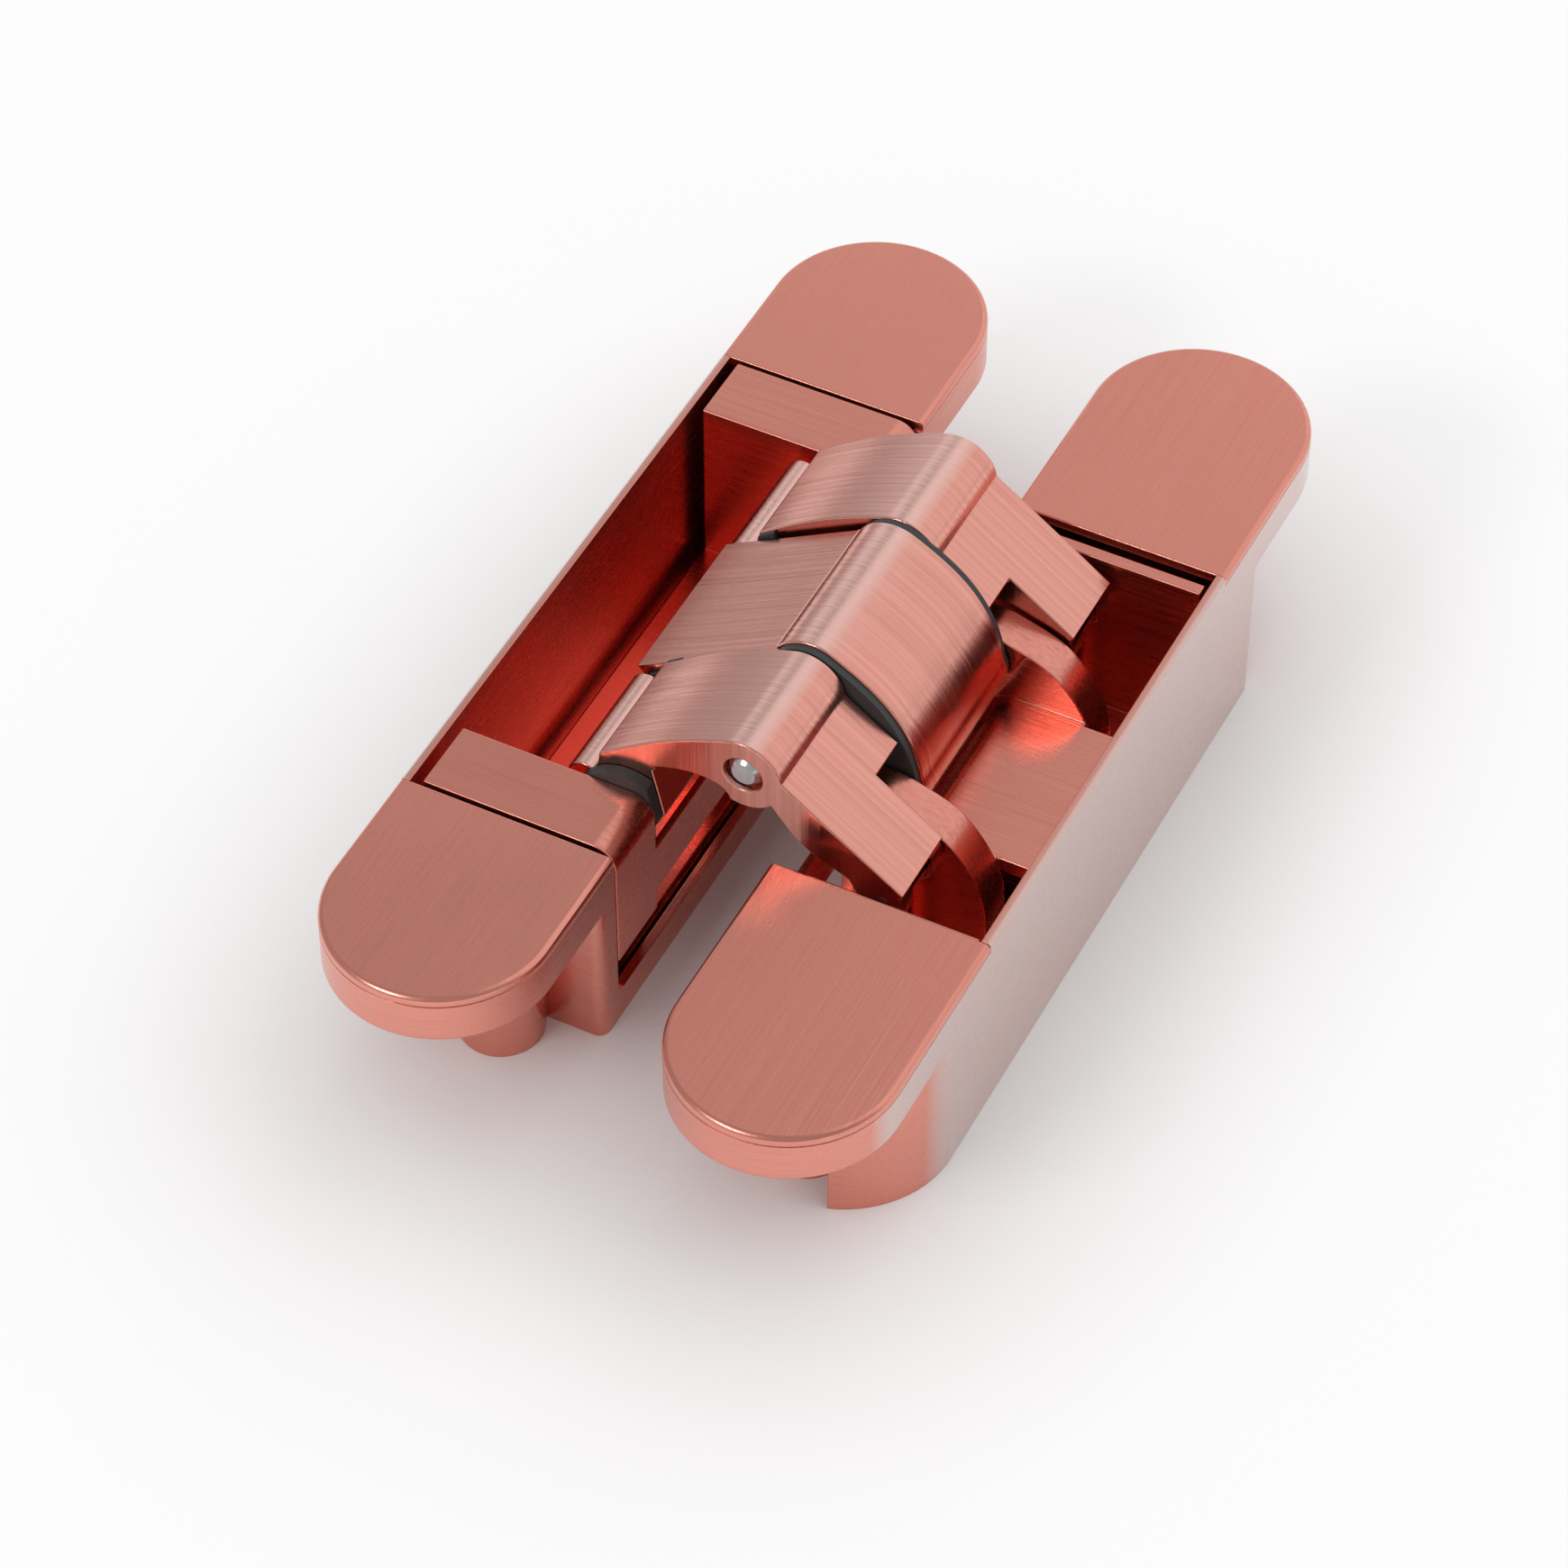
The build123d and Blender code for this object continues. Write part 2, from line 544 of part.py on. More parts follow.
# Plastic spacers
def make_arm_spacers():
    """Low-friction plates on both cheeks of the middle arm."""
    plates = []
    for y_high in (SPACER_OUT, -NOSE_HALF):
        with BuildPart() as plate:
            with BuildSketch(lane(y_high)):
                with BuildLine():
                    arm_nose(SPACER_INSET)
                make_face()
                with Locations(up((ARM_SPACER_EDGE + 20, 0))):
                    Rectangle(40, 60, mode=Mode.INTERSECT)
                with Locations(up(CENTRE_PIVOT)):
                    Circle(CENTRE_PIN_RADIUS + SPACER_CLEARANCE, mode=Mode.SUBTRACT)
                with Locations(up(RIGHT_PIVOT)):
                    Circle(LEAF_PIN_RADIUS + SPACER_CLEARANCE, mode=Mode.SUBTRACT)
            extrude(amount=SPACER_OUT - NOSE_HALF)
        plates.append(plate.part)
    return Compound(children=plates)


save(make_arm_spacers(), "arm_side_spacers")


def make_leg_spacers():
    """Thin plates on the inner cheeks of the legs, round their pivot eyes."""
    plates = []
    for y_high in (LEG_INNER, -LEG_SPACER_INNER):
        with BuildPart() as plate:
            with BuildSketch(lane(y_high)):
                with Locations(up(LEFT_PIVOT)):
                    Circle(LEG_EYE - SPACER_INSET)
                with BuildLine():
                    run(*LEG_SPACER_EDGE, LEG_SPACER_EDGE[0])
                make_face()
                with Locations(up(LEFT_PIVOT)):
                    Circle(LEAF_PIN_RADIUS + SPACER_CLEARANCE, mode=Mode.SUBTRACT)
            extrude(amount=LEG_INNER - LEG_SPACER_INNER)
        plates.append(plate.part)
    return Compound(children=plates)


save(make_leg_spacers(), "leg_inner_spacers")


def make_block_spacers():
    """Discs between the legs and the blocks of the left carrier, trimmed behind the leg's edge."""
    top, foot = [(x - BLOCK_SPACER_TRIM, z) for x, z in LEG_EDGE]
    low = LEFT_PIVOT[1] - BLOCK_SPACER_RADIUS
    back = LEFT_PIVOT[0] - BLOCK_SPACER_RADIUS
    trim = [(back, low), (back, top[1]), top, foot,
            (-INNER_X - BRIDGE_THICKNESS, foot[1]), (-INNER_X - BRIDGE_THICKNESS, low)]
    plates = []
    for y_high in (LEFT_BLOCK_INNER, -LEG_OUTER - FACE_GAP):
        with BuildPart() as plate:
            with BuildSketch(lane(y_high)):
                with Locations(up(LEFT_PIVOT)):
                    Circle(BLOCK_SPACER_RADIUS)
                with BuildSketch(lane(y_high), mode=Mode.INTERSECT):
                    with BuildLine():
                        run(*trim, trim[0])
                    make_face()
                with Locations(up(LEFT_PIVOT)):
                    Circle(LEAF_PIN_RADIUS, mode=Mode.SUBTRACT)
            extrude(amount=LEFT_BLOCK_INNER - LEG_OUTER - FACE_GAP)
        plates.append(plate.part)
    return Compound(children=plates)


save(make_block_spacers(), "left_side_spacers")


# Control links
def make_link(pivot, angle, reach, swing, travel, y_low, y_high):
    """Link with a round eye at the pivot and a slotted eye at its foot."""
    foot = around(pivot, reach, angle)
    slot_half = LINK_PIN_RADIUS + SLOT_PLAY
    with BuildPart() as link:
        with BuildSketch(lane(y_high)):
            with Locations(up(pivot)):
                Circle(LINK_EYE)
            with Locations(up(((pivot[0] + foot[0]) / 2, (pivot[1] + foot[1]) / 2))):
                Rectangle(2 * LINK_BAR_HALF, reach, rotation=angle - 90)
            with Locations(up(foot)):
                RectangleRounded(2 * (travel + slot_half + LINK_WALL),
                                 2 * (swing + slot_half + LINK_WALL),
                                 slot_half + LINK_WALL, rotation=angle - 90)
                RectangleRounded(2 * (travel + slot_half), 2 * (swing + slot_half),
                                 slot_half, rotation=angle - 90, mode=Mode.SUBTRACT)
            with Locations(up(pivot)):
                Circle(TAIL_PIN_RADIUS + RUNNING_CLEARANCE, mode=Mode.SUBTRACT)
        extrude(amount=y_high - y_low)
    return link.part


save(make_link(MIDDLE_TAIL_PIVOT, LEFT_LINK_ANGLE, LEFT_LINK_REACH, LEFT_LINK_SWING,
               LEFT_LINK_TRAVEL, -LEFT_LINK_HALF, LEFT_LINK_HALF), "left_control_link")
for name, y_low, y_high in (("lower", -RIGHT_LINK_LANE[1], -RIGHT_LINK_LANE[0]),
                            ("upper", RIGHT_LINK_LANE[0], RIGHT_LINK_LANE[1])):
    save(make_link(LEG_TAIL_PIVOT, RIGHT_LINK_ANGLE, RIGHT_LINK_REACH, RIGHT_LINK_SWING,
                   RIGHT_LINK_TRAVEL, y_low, y_high), f"right_link_{name}")


# Carriers
def block_outline(side, inner, outer, top, bottom):
    """Cross-section of an end block, rounded towards the other leaf."""
    corner = (side * (inner + BLOCK_ROUND), top - BLOCK_ROUND)
    arc(corner, BLOCK_ROUND, 90, 180 if side > 0 else 0)
    run((side * inner, top - BLOCK_ROUND), (side * inner, BLOCK_STEP_Z),
        (side * BLOCK_STEP_X, BLOCK_STEP_Z), (side * BLOCK_STEP_X, bottom),
        (side * outer, bottom), (side * outer, top), (side * (inner + BLOCK_ROUND), top))


def bar(x_low, x_high, y_low, y_high, z_low, z_high):
    """Plain block given by its six faces, z counted from the face of the leaves."""
    with Locations(((x_low + x_high) / 2, (y_low + y_high) / 2, FACE + (z_low + z_high) / 2)):
        Box(x_high - x_low, y_high - y_low, z_high - z_low)


def make_lug(pivot, floor, y_low, y_high):
    """Upright ear with a round top about a pivot."""
    with BuildPart() as lug:
        with BuildSketch(lane(y_high)):
            with Locations(up(pivot)):
                Circle(LUG_RADIUS)
            with Locations(up((pivot[0], (pivot[1] + floor) / 2))):
                Rectangle(2 * LUG_RADIUS, pivot[1] - floor)
            with Locations(up(pivot)):
                Circle(LINK_PIN_RADIUS, mode=Mode.SUBTRACT)
        extrude(amount=y_high - y_low)
    return lug.part


def make_tongues(side, root):
    """Tongues that reach the adjusters."""
    barrel_x = side * (CENTRE_X - BARREL_OFFSET)
    with BuildPart() as tongues:
        with BuildSketch(Plane.XY.offset(FACE + TONGUE_BOTTOM)):
            with Locations((barrel_x, BARREL_Y), (barrel_x, -BARREL_Y)):
                Circle(TONGUE_RADIUS)
            with Locations((barrel_x, (root + BARREL_Y) / 2), (barrel_x, -(root + BARREL_Y) / 2)):
                Rectangle(2 * TONGUE_RADIUS, BARREL_Y - root)
            if side < 0:
                with Locations((barrel_x, BARREL_Y), (barrel_x, -BARREL_Y)):
                    Circle(DEPTH_SCREW_RADIUS + RUNNING_CLEARANCE, mode=Mode.SUBTRACT)
            else:
                with Locations((barrel_x + CAM_SLOT_MIDDLE, BARREL_Y),
                               (barrel_x + CAM_SLOT_MIDDLE, -BARREL_Y)):
                    SlotCenterToCenter(CAM_SLOT_LENGTH, 2 * (CAM_PIN_RADIUS + CAM_SLOT_PLAY),
                                       mode=Mode.SUBTRACT)
        extrude(amount=TONGUE_TOP - TONGUE_BOTTOM)
    return tongues.part


with BuildPart() as left_carrier:
    depth = LEFT_BLOCK_OUTER - LEFT_BLOCK_INNER
    for y_high in (LEFT_BLOCK_OUTER, -LEFT_BLOCK_INNER):
        with BuildSketch(lane(y_high)):
            with BuildLine():
                block_outline(-1, INNER_X, LEFT_BLOCK_X, 0, LEFT_BOTTOM)
            make_face()
        extrude(amount=depth)
    bar(-LEFT_BLOCK_X, -BLOCK_STEP_X, -LEFT_BLOCK_INNER, LEFT_BLOCK_INNER, LEFT_BOTTOM, LEFT_FLOOR_TOP)
    bar(-INNER_X - BRIDGE_THICKNESS, -INNER_X, -LEFT_BLOCK_INNER, LEFT_BLOCK_INNER,
        BRIDGE_BOTTOM, BRIDGE_TOP)
    add(make_lug(LEFT_LINK_PIVOT, LEFT_FLOOR_TOP, LEFT_FORK_HALF, LEFT_LUG_OUT))
    add(make_lug(LEFT_LINK_PIVOT, LEFT_FLOOR_TOP, -LEFT_LUG_OUT, -LEFT_FORK_HALF))
    add(make_tongues(-1, LEFT_BLOCK_OUTER))
    with BuildSketch(lane(PIVOT_PIN_HALF)):
        with Locations(up(LEFT_PIVOT)):
            Circle(LEAF_PIN_RADIUS)
    extrude(amount=2 * PIVOT_PIN_HALF, mode=Mode.SUBTRACT)
save(left_carrier.part, "left_carrier")


def fin_outline():
    """Curved guard beside the nose of the middle arm."""
    back = (FIN_EDGE[0][0], RIGHT_FLOOR_TOP)
    run(back, FIN_EDGE[0])
    curve(*FIN_EDGE)
    run(FIN_EDGE[-1], (FIN_FOOT, RIGHT_FLOOR_TOP), back)


def plate_outline():
    """Bent plate under the nose, open underneath."""
    x, z = PLATE_BEND
    radius = PLATE_TOP - z
    arc(PLATE_BEND, radius, 180, 90)
    run((x, PLATE_TOP), (RIGHT_BLOCK_X, PLATE_TOP), (RIGHT_BLOCK_X, PLATE_TOP - PLATE_THICKNESS),
        (x, PLATE_TOP - PLATE_THICKNESS))
    arc(PLATE_BEND, radius - PLATE_THICKNESS, 90, 180)
    run((x - radius + PLATE_THICKNESS, z), (x - radius + PLATE_THICKNESS, RIGHT_FLOOR_TOP),
        (x - radius, RIGHT_FLOOR_TOP), (x - radius, z))


with BuildPart() as right_carrier:
    for y_low, y_high, inner, top in (
            (RIGHT_FAR_INNER, RIGHT_STRIP_OUTER, INNER_X, STRIP_TOP),
            (RIGHT_STRIP_OUTER, RIGHT_BLOCK_OUTER, RIGHT_BLOCK_FLANK, FAR_BLOCK_TOP),
            (-RIGHT_STRIP_OUTER, -RIGHT_NEAR_INNER, INNER_X, NEAR_BLOCK_TOP),
            (-RIGHT_BLOCK_OUTER, -RIGHT_STRIP_OUTER, RIGHT_BLOCK_FLANK, NEAR_BLOCK_TOP)):
        with BuildSketch(lane(y_high)):
            with BuildLine():
                block_outline(1, inner, RIGHT_BLOCK_X, top, RIGHT_BOTTOM)
            make_face()
        extrude(amount=y_high - y_low)
    bar(BLOCK_STEP_X, RIGHT_BLOCK_X, -RIGHT_NEAR_INNER, RIGHT_FAR_INNER,
        RIGHT_BOTTOM, RIGHT_FLOOR_TOP)
    bar(INNER_X, INNER_X + BRIDGE_THICKNESS, -RIGHT_NEAR_INNER, RIGHT_FAR_INNER,
        BRIDGE_BOTTOM, BRIDGE_TOP)
    for high in (FIN_OUTER, -FIN_INNER):
        with BuildSketch(lane(high)):
            with BuildLine():
                fin_outline()
            make_face()
        extrude(amount=FIN_OUTER - FIN_INNER)
    with BuildSketch(lane(FIN_INNER)):
        with BuildLine():
            plate_outline()
        make_face()
    extrude(amount=2 * FIN_INNER)
    # Beyond the fins the plate is narrower, so that the folded legs pass beside it
    for end in (-1, 1):
        with Locations(((PLATE_NECK_X + RIGHT_BLOCK_X) / 2, end * (FIN_INNER - PLATE_NECK / 2),
                        FACE + PLATE_TOP - PLATE_THICKNESS / 2)):
            Box(RIGHT_BLOCK_X - PLATE_NECK_X, PLATE_NECK, PLATE_THICKNESS, mode=Mode.SUBTRACT)
    for y_low, y_high in ((RIGHT_LUG_INNER, RIGHT_FORK_LANE[0]), (RIGHT_FORK_LANE[1], LEG_OUTER)):
        add(make_lug(RIGHT_LINK_PIVOT, RIGHT_FLOOR_TOP, y_low, y_high))
        add(make_lug(RIGHT_LINK_PIVOT, RIGHT_FLOOR_TOP, -y_high, -y_low))
    add(make_tongues(1, RIGHT_BLOCK_OUTER))
    # Slots in the floor beside the fins
    for end in (-1, 1):
        with Locations((sum(FIN_SLOT) / 2, end * (FIN_OUTER + FIN_SLOT_WIDTH / 2),
                        FACE + (RIGHT_FLOOR_TOP + RIGHT_BOTTOM) / 2)):
            Box(FIN_SLOT[1] - FIN_SLOT[0], FIN_SLOT_WIDTH, RIGHT_FLOOR_TOP - RIGHT_BOTTOM,
                mode=Mode.SUBTRACT)
    with BuildSketch(lane(FIN_OUTER)):
        with Locations(up(RIGHT_PIVOT)):
            Circle(LEAF_PIN_RADIUS)
    extrude(amount=2 * FIN_OUTER, mode=Mode.SUBTRACT)
save(right_carrier.part, "right_carrier")


# Adjusters
def make_depth_screw(end):
    """Vertical screw that lifts and lowers the left carrier."""
    x = -(CENTRE_X - BARREL_OFFSET)
    with BuildPart() as screw:
        for low, high, radius in ((FOOT_SINK_DEPTH - RIVET_THICKNESS, FOOT_SINK_DEPTH, RIVET_RADIUS),
                                  (FOOT_SINK_DEPTH, POCKET_FLOOR, FOOT_HOLE - RUNNING_CLEARANCE),
                                  (POCKET_FLOOR, POCKET_FLOOR + DEPTH_SHOULDER, DEPTH_SHOULDER_RADIUS),
                                  (POCKET_FLOOR + DEPTH_SHOULDER, FACE + DEPTH_SCREW_TOP,
                                   DEPTH_SCREW_RADIUS)):
            with BuildSketch(Plane.XY.offset(low)):
                with Locations((x, end * BARREL_Y)):
                    Circle(radius)
            extrude(amount=high - low)
        with BuildSketch(Plane.XY.offset(FACE + DEPTH_SCREW_TOP - HEX_DEPTH)):
            with Locations((x, end * BARREL_Y)):
                RegularPolygon(HEX_RADIUS, 6)
        extrude(amount=HEX_DEPTH, mode=Mode.SUBTRACT)
    return screw.part


def make_cam(end):
    """Vertical eccentric that shifts the right casing along its carrier."""
    x = CENTRE_X - BARREL_OFFSET
    ledge = FACE - BARREL_LEDGE_DEPTH
    with BuildPart() as cam:
        for low, high, radius, shift in (
                (ledge, FACE + CAM_HEAD_TOP, CAM_HEAD_RADIUS, 0),
                (FACE + CAM_DRUM_BOTTOM, ledge, BARREL_BORE - RUNNING_CLEARANCE, 0),
                (FACE + CAM_PIN_BOTTOM, FACE + CAM_DRUM_BOTTOM, CAM_PIN_RADIUS, CAM_OFFSET)):
            with BuildSketch(Plane.XY.offset(low)):
                with Locations((x + shift, end * BARREL_Y)):
                    Circle(radius)
            extrude(amount=high - low)
        with BuildSketch(Plane.XY.offset(FACE + CAM_HEAD_TOP - HEX_DEPTH)):
            with Locations((x, end * BARREL_Y)):
                RegularPolygon(CAM_HEX_RADIUS, 6)
        extrude(amount=HEX_DEPTH, mode=Mode.SUBTRACT)
    return cam.part


save(make_depth_screw(-1), "left_depth_screw_lower")
save(make_depth_screw(1), "left_depth_screw_upper")
save(make_cam(-1), "right_height_cam_lower")
save(make_cam(1), "right_height_cam_upper")
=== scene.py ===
"""Concealed door hinge, unfolded, in brushed satin copper."""
import math

import bpy
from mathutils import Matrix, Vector

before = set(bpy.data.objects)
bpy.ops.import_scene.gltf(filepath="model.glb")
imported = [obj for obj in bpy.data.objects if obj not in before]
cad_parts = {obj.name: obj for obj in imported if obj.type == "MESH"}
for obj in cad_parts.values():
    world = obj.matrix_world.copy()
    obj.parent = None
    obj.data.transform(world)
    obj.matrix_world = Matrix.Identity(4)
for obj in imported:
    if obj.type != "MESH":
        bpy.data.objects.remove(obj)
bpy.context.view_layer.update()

bl_info = {
    "name": "Concealed door hinge",
    "version": (1, 0, 0),
    "blender": (4, 5, 0),
    "location": "View3D > Sidebar > Hinge",
    "description": "Dresses the packed concealed hinge in its finishes and lights it",
    "category": "Object",
}

# Brush lines per metre along each axis; a small number is the direction they run in
ALONG_Y = (2100.0, 26.0, 2100.0)
FINE_ALONG_Y = (3600.0, 90.0, 3600.0)
ALONG_X = (30.0, 2400.0, 2400.0)
ROUND_PROFILE = (9.0, 1500.0, 9.0)
UP_THE_ENDS = (1500.0, 9.0, 9.0)
ROUND_THE_RIM = (50.0, 50.0, 2600.0)
TURNED = (900.0, 900.0, 900.0)
PATCHES = (38.0, 38.0, 38.0)
PLASTIC_GRAIN = (2600.0, 2600.0, 2600.0)

# Depth of the brush lines and of the plastic's grain, in metres
FINE_LINES = 0.000006
PLATE_LINES = 0.000014
ARM_LINES = 0.000060
TURNED_LINES = 0.000004
BUSH_LINES = 0.000010
GRAIN_DEPTH = 0.000020

# A finish, or a painted sheen, reflection or shade, passes over into the next between the
# two numbers of its band. The first three are shares of the normal along an axis
END_FACES = (0.75, 0.90)
# The arms' painted sheen lies in this band
CREST = (0.86, 0.97)
FLAT = (0.30, 0.60)
# The others are metres from the floor or from the middle planes of the hinge
# BELOW_THE_FACES, ABOVE_THE_BACKS, POCKET_SIDES and POCKET_ENDS bound the painted reflection
# and shade in the pockets
BELOW_THE_FACES = (0.0262, 0.0278)
ABOVE_THE_BACKS = (0.0006, 0.0012)
# This band bounds the painted sheen on the casings' outer walls
OUTER_WALLS = (0.0351, 0.0360)
POCKET_SIDES = (0.0200, 0.0230)
POCKET_ENDS = (0.0380, 0.0385)

ROUGHNESS_SPREAD = 0.08        # of the brush lines, either way
PATCH_SPREAD = 0.04            # of the broad patches, either way
INNER_COAT = 0.1               # coat on all of a casting but its outer walls
MESH_MERGE = 0.000001          # welds the doubled points of a CAD mesh
LEG_MERGE = 0.00013            # also welds the slight step where a leg's skin gets thicker
ARM_EDGE = 1.2                 # rounding of the arms' edges, as a share of the others'

FLOOR_REACH = 6.0
OPEN_SHARE = (0.25, 1.0)       # open sky above a point, from the darkest shadow to none
LAMP_TARGET = (0, 0, 0.02)
# Name, place, width and height of each lamp
LAMPS = (("key", (0.72, 0.85, 0.98), 2.3, 2.3),
         ("fill", (-0.50, 1.20, 0.60), 1.2, 0.9),
         ("front", (-0.45, -1.05, 0.85), 0.5, 0.25))


class HingeFinish(bpy.types.PropertyGroup):
    copper: bpy.props.FloatVectorProperty(
        name="Copper", description="Colour of the satin copper plating",
        default=(0.80, 0.315, 0.245), size=3, min=0, max=1, subtype="COLOR")
    copper_streak: bpy.props.FloatVectorProperty(
        name="Copper streak", description="Darker copper in the brush lines",
        default=(0.66, 0.22, 0.165), size=3, min=0, max=1, subtype="COLOR")
    arm_copper: bpy.props.FloatVectorProperty(
        name="Arm copper", description="Paler copper of the arms",
        default=(0.86, 0.36, 0.285), size=3, min=0, max=1, subtype="COLOR")
    arm_streak: bpy.props.FloatVectorProperty(
        name="Arm streak", description="Brush lines of the arms",
        default=(0.62, 0.23, 0.17), size=3, min=0, max=1, subtype="COLOR")
    # Painted sheen: a paler copper on the arms' faces that look straight up, standing in for
    # the light they reflect
    painted_arm_sheen: bpy.props.FloatVectorProperty(
        name="Arm crest", description="Paler copper where the arms look straight up",
        default=(0.78, 0.455, 0.395), size=3, min=0, max=1, subtype="COLOR")
    # Painted sheen: a paler, greyer copper on the two long outer walls, standing in for the
    # pale floor they reflect at a low angle
    painted_wall_sheen: bpy.props.FloatVectorProperty(
        name="Outer wall", description="Paler finish of the two long outer walls",
        default=(0.66, 0.42, 0.375), size=3, min=0, max=1, subtype="COLOR")
    # Painted reflection: brighter, redder copper on the low upright faces in the pockets,
    # standing in for the light the copper walls throw on each other
    painted_pocket_reflection: bpy.props.FloatVectorProperty(
        name="Deep copper", description="Brighter, redder plating that no brush reached",
        default=(0.97, 0.30, 0.22), size=3, min=0, max=1, subtype="COLOR")
    # Painted shade: darker, redder copper on the low flat faces in the pockets, standing in
    # for the shade there, reddened as painted reflection of the red light thrown between the
    # walls
    painted_pocket_shade: bpy.props.FloatVectorProperty(
        name="Sunk copper", description="Red plating on the low flat faces in the pockets",
        default=(0.76, 0.125, 0.085), size=3, min=0, max=1, subtype="COLOR")
    steel: bpy.props.FloatVectorProperty(
        name="Steel", description="Colour of the pins", default=(0.66, 0.67, 0.69),
        size=3, min=0, max=1, subtype="COLOR")
    plastic: bpy.props.FloatVectorProperty(
        name="Plastic", description="Colour of the low-friction spacers",
        default=(0.030, 0.035, 0.036), size=3, min=0, max=1, subtype="COLOR")
    bronze: bpy.props.FloatVectorProperty(
        name="Bronze", description="Colour of the bushes", default=(0.50, 0.32, 0.15),
        size=3, min=0, max=1, subtype="COLOR")
    roughness: bpy.props.FloatProperty(
        name="Roughness", description="Mean roughness of the brushed faces",
        default=0.27, min=0, max=1, subtype="FACTOR")
    edge: bpy.props.FloatProperty(
        name="Edge rounding", description="Rounding of the cast and machined edges",
        default=0.00022, min=0, max=0.001, unit="LENGTH")


class StageSettings(bpy.types.PropertyGroup):
    floor_colour: bpy.props.FloatVectorProperty(
        name="Floor", description="Colour of the floor", default=(0.82, 0.82, 0.82),
        size=3, min=0, max=1, subtype="COLOR")
    backdrop_white: bpy.props.FloatProperty(
        name="Backdrop white",
        description="White that the eye sees on the floor besides its light",
        default=0.385, min=0, max=1)
    shadow_reach: bpy.props.FloatProperty(
        name="Shadow reach", description="How far the soft shadow on that white reaches",
        default=0.04, min=0, max=1, unit="LENGTH")
    world_strength: bpy.props.FloatProperty(
        name="World", description="Strength of the even white surroundings",
        default=0.47, min=0, max=4)
    key_power: bpy.props.FloatProperty(
        name="Key lamp", description="Power of the large lamp at the back right",
        default=7.5, min=0, max=100, unit="POWER")
    fill_power: bpy.props.FloatProperty(
        name="Fill lamp", description="Power of the lamp at the back left",
        default=1.4, min=0, max=100, unit="POWER")
    front_power: bpy.props.FloatProperty(
        name="Front lamp", description="Power of the small lamp that draws the near edges",
        default=3.5, min=0, max=100, unit="POWER")
    lens: bpy.props.FloatProperty(
        name="Lens", description="Focal length of the camera in millimetres",
        default=125.91, min=10, max=300)
    camera_place: bpy.props.FloatVectorProperty(
        name="Camera place", description="Where the camera stands", size=3,
        default=(0.2001, -0.4065, 0.49597), unit="LENGTH")
    camera_tilt: bpy.props.FloatProperty(
        name="Camera tilt", description="Camera angle from straight down",
        default=math.radians(42.754), unit="ROTATION")
    camera_turn: bpy.props.FloatProperty(
        name="Camera turn", description="Camera angle round the vertical",
        default=math.radians(26.976), unit="ROTATION")


# Materials
def new_material(name):
    """Material with its tree and the Principled shader in it."""
    material = bpy.data.materials.new(name)
    material.use_nodes = True
    nodes = material.node_tree.nodes
    return material, nodes, material.node_tree.links, nodes["Principled BSDF"]


def stretched_noise(nodes, links, scale, detail, rough):
    """Noise on object coordinates with its own scale along each axis."""
    coords = nodes.new("ShaderNodeTexCoord")
    mapping = nodes.new("ShaderNodeMapping")
    mapping.inputs["Scale"].default_value = scale
    noise = nodes.new("ShaderNodeTexNoise")
    noise.inputs["Scale"].default_value = 1.0
    noise.inputs["Detail"].default_value = detail
    noise.inputs["Roughness"].default_value = rough
    links.new(coords.outputs["Object"], mapping.inputs["Vector"])
    links.new(mapping.outputs["Vector"], noise.inputs["Vector"])
    return noise.outputs["Fac"]


def ranged(nodes, links, source, low, high, from_low=0.3, from_high=0.7):
    """Stretch a value between two bounds; noise lies between the usual ones."""
    node = nodes.new("ShaderNodeMapRange")
    node.inputs["From Min"].default_value = from_low
    node.inputs["From Max"].default_value = from_high
    node.inputs["To Min"].default_value = low
    node.inputs["To Max"].default_value = high
    links.new(source, node.inputs["Value"])
    return node.outputs["Result"]


def calculated(nodes, links, operation, first, second):
    """Join two sockets by a sum, a product or the like."""
    node = nodes.new("ShaderNodeMath")
    node.operation = operation
    links.new(first, node.inputs[0])
    links.new(second, node.inputs[1])
    return node.outputs["Value"]


def banded(nodes, links, output, axis, band, rising=True):
    """Share of a face from one axis of its place or normal, on both sides of the middle."""
    coords = nodes.new("ShaderNodeTexCoord")
    split = nodes.new("ShaderNodeSeparateXYZ")
    size = nodes.new("ShaderNodeMath")
    size.operation = "ABSOLUTE"
    links.new(coords.outputs[output], split.inputs["Vector"])
    links.new(split.outputs[axis], size.inputs[0])
    low, high = (0.0, 1.0) if rising else (1.0, 0.0)
    return ranged(nodes, links, size.outputs["Value"], low, high, *band)


def mixed(nodes, links, share, first, second, kind="RGBA"):
    """Mix two sockets or two plain colours by a share."""
    mix = nodes.new("ShaderNodeMix")
    mix.data_type = kind
    links.new(share, mix.inputs["Factor"])
    for name, value in (("A", first), ("B", second)):
        if isinstance(value, tuple):
            mix.inputs[name].default_value = (*value, 1)
        else:
            links.new(value, mix.inputs[name])
    return mix.outputs["Result"]


def product(nodes, links, shares):
    """Multiply shares with each other."""
    total = shares[0]
    for share in shares[1:]:
        total = calculated(nodes, links, "MULTIPLY", total, share)
    return total


def relief(nodes, links, shader, height, depth, strength=1.0):
    """Let a value stand out of the surface as a bump."""
    bump = nodes.new("ShaderNodeBump")
    bump.inputs["Strength"].default_value = strength
    bump.inputs["Distance"].default_value = depth
    links.new(height, bump.inputs["Height"])
    links.new(bump.outputs["Normal"], shader.inputs["Normal"])
    return bump


def brush_lines(nodes, links, scale, end_scale):
    """Fine lines, with a direction of their own on the faces at the near and far ends."""
    lines = stretched_noise(nodes, links, scale, 5.0, 0.65)
    if end_scale:
        end_lines = stretched_noise(nodes, links, end_scale, 5.0, 0.65)
        ends = banded(nodes, links, "Normal", "Y", END_FACES)
        lines = mixed(nodes, links, ends, lines, end_lines, "FLOAT")
    return lines


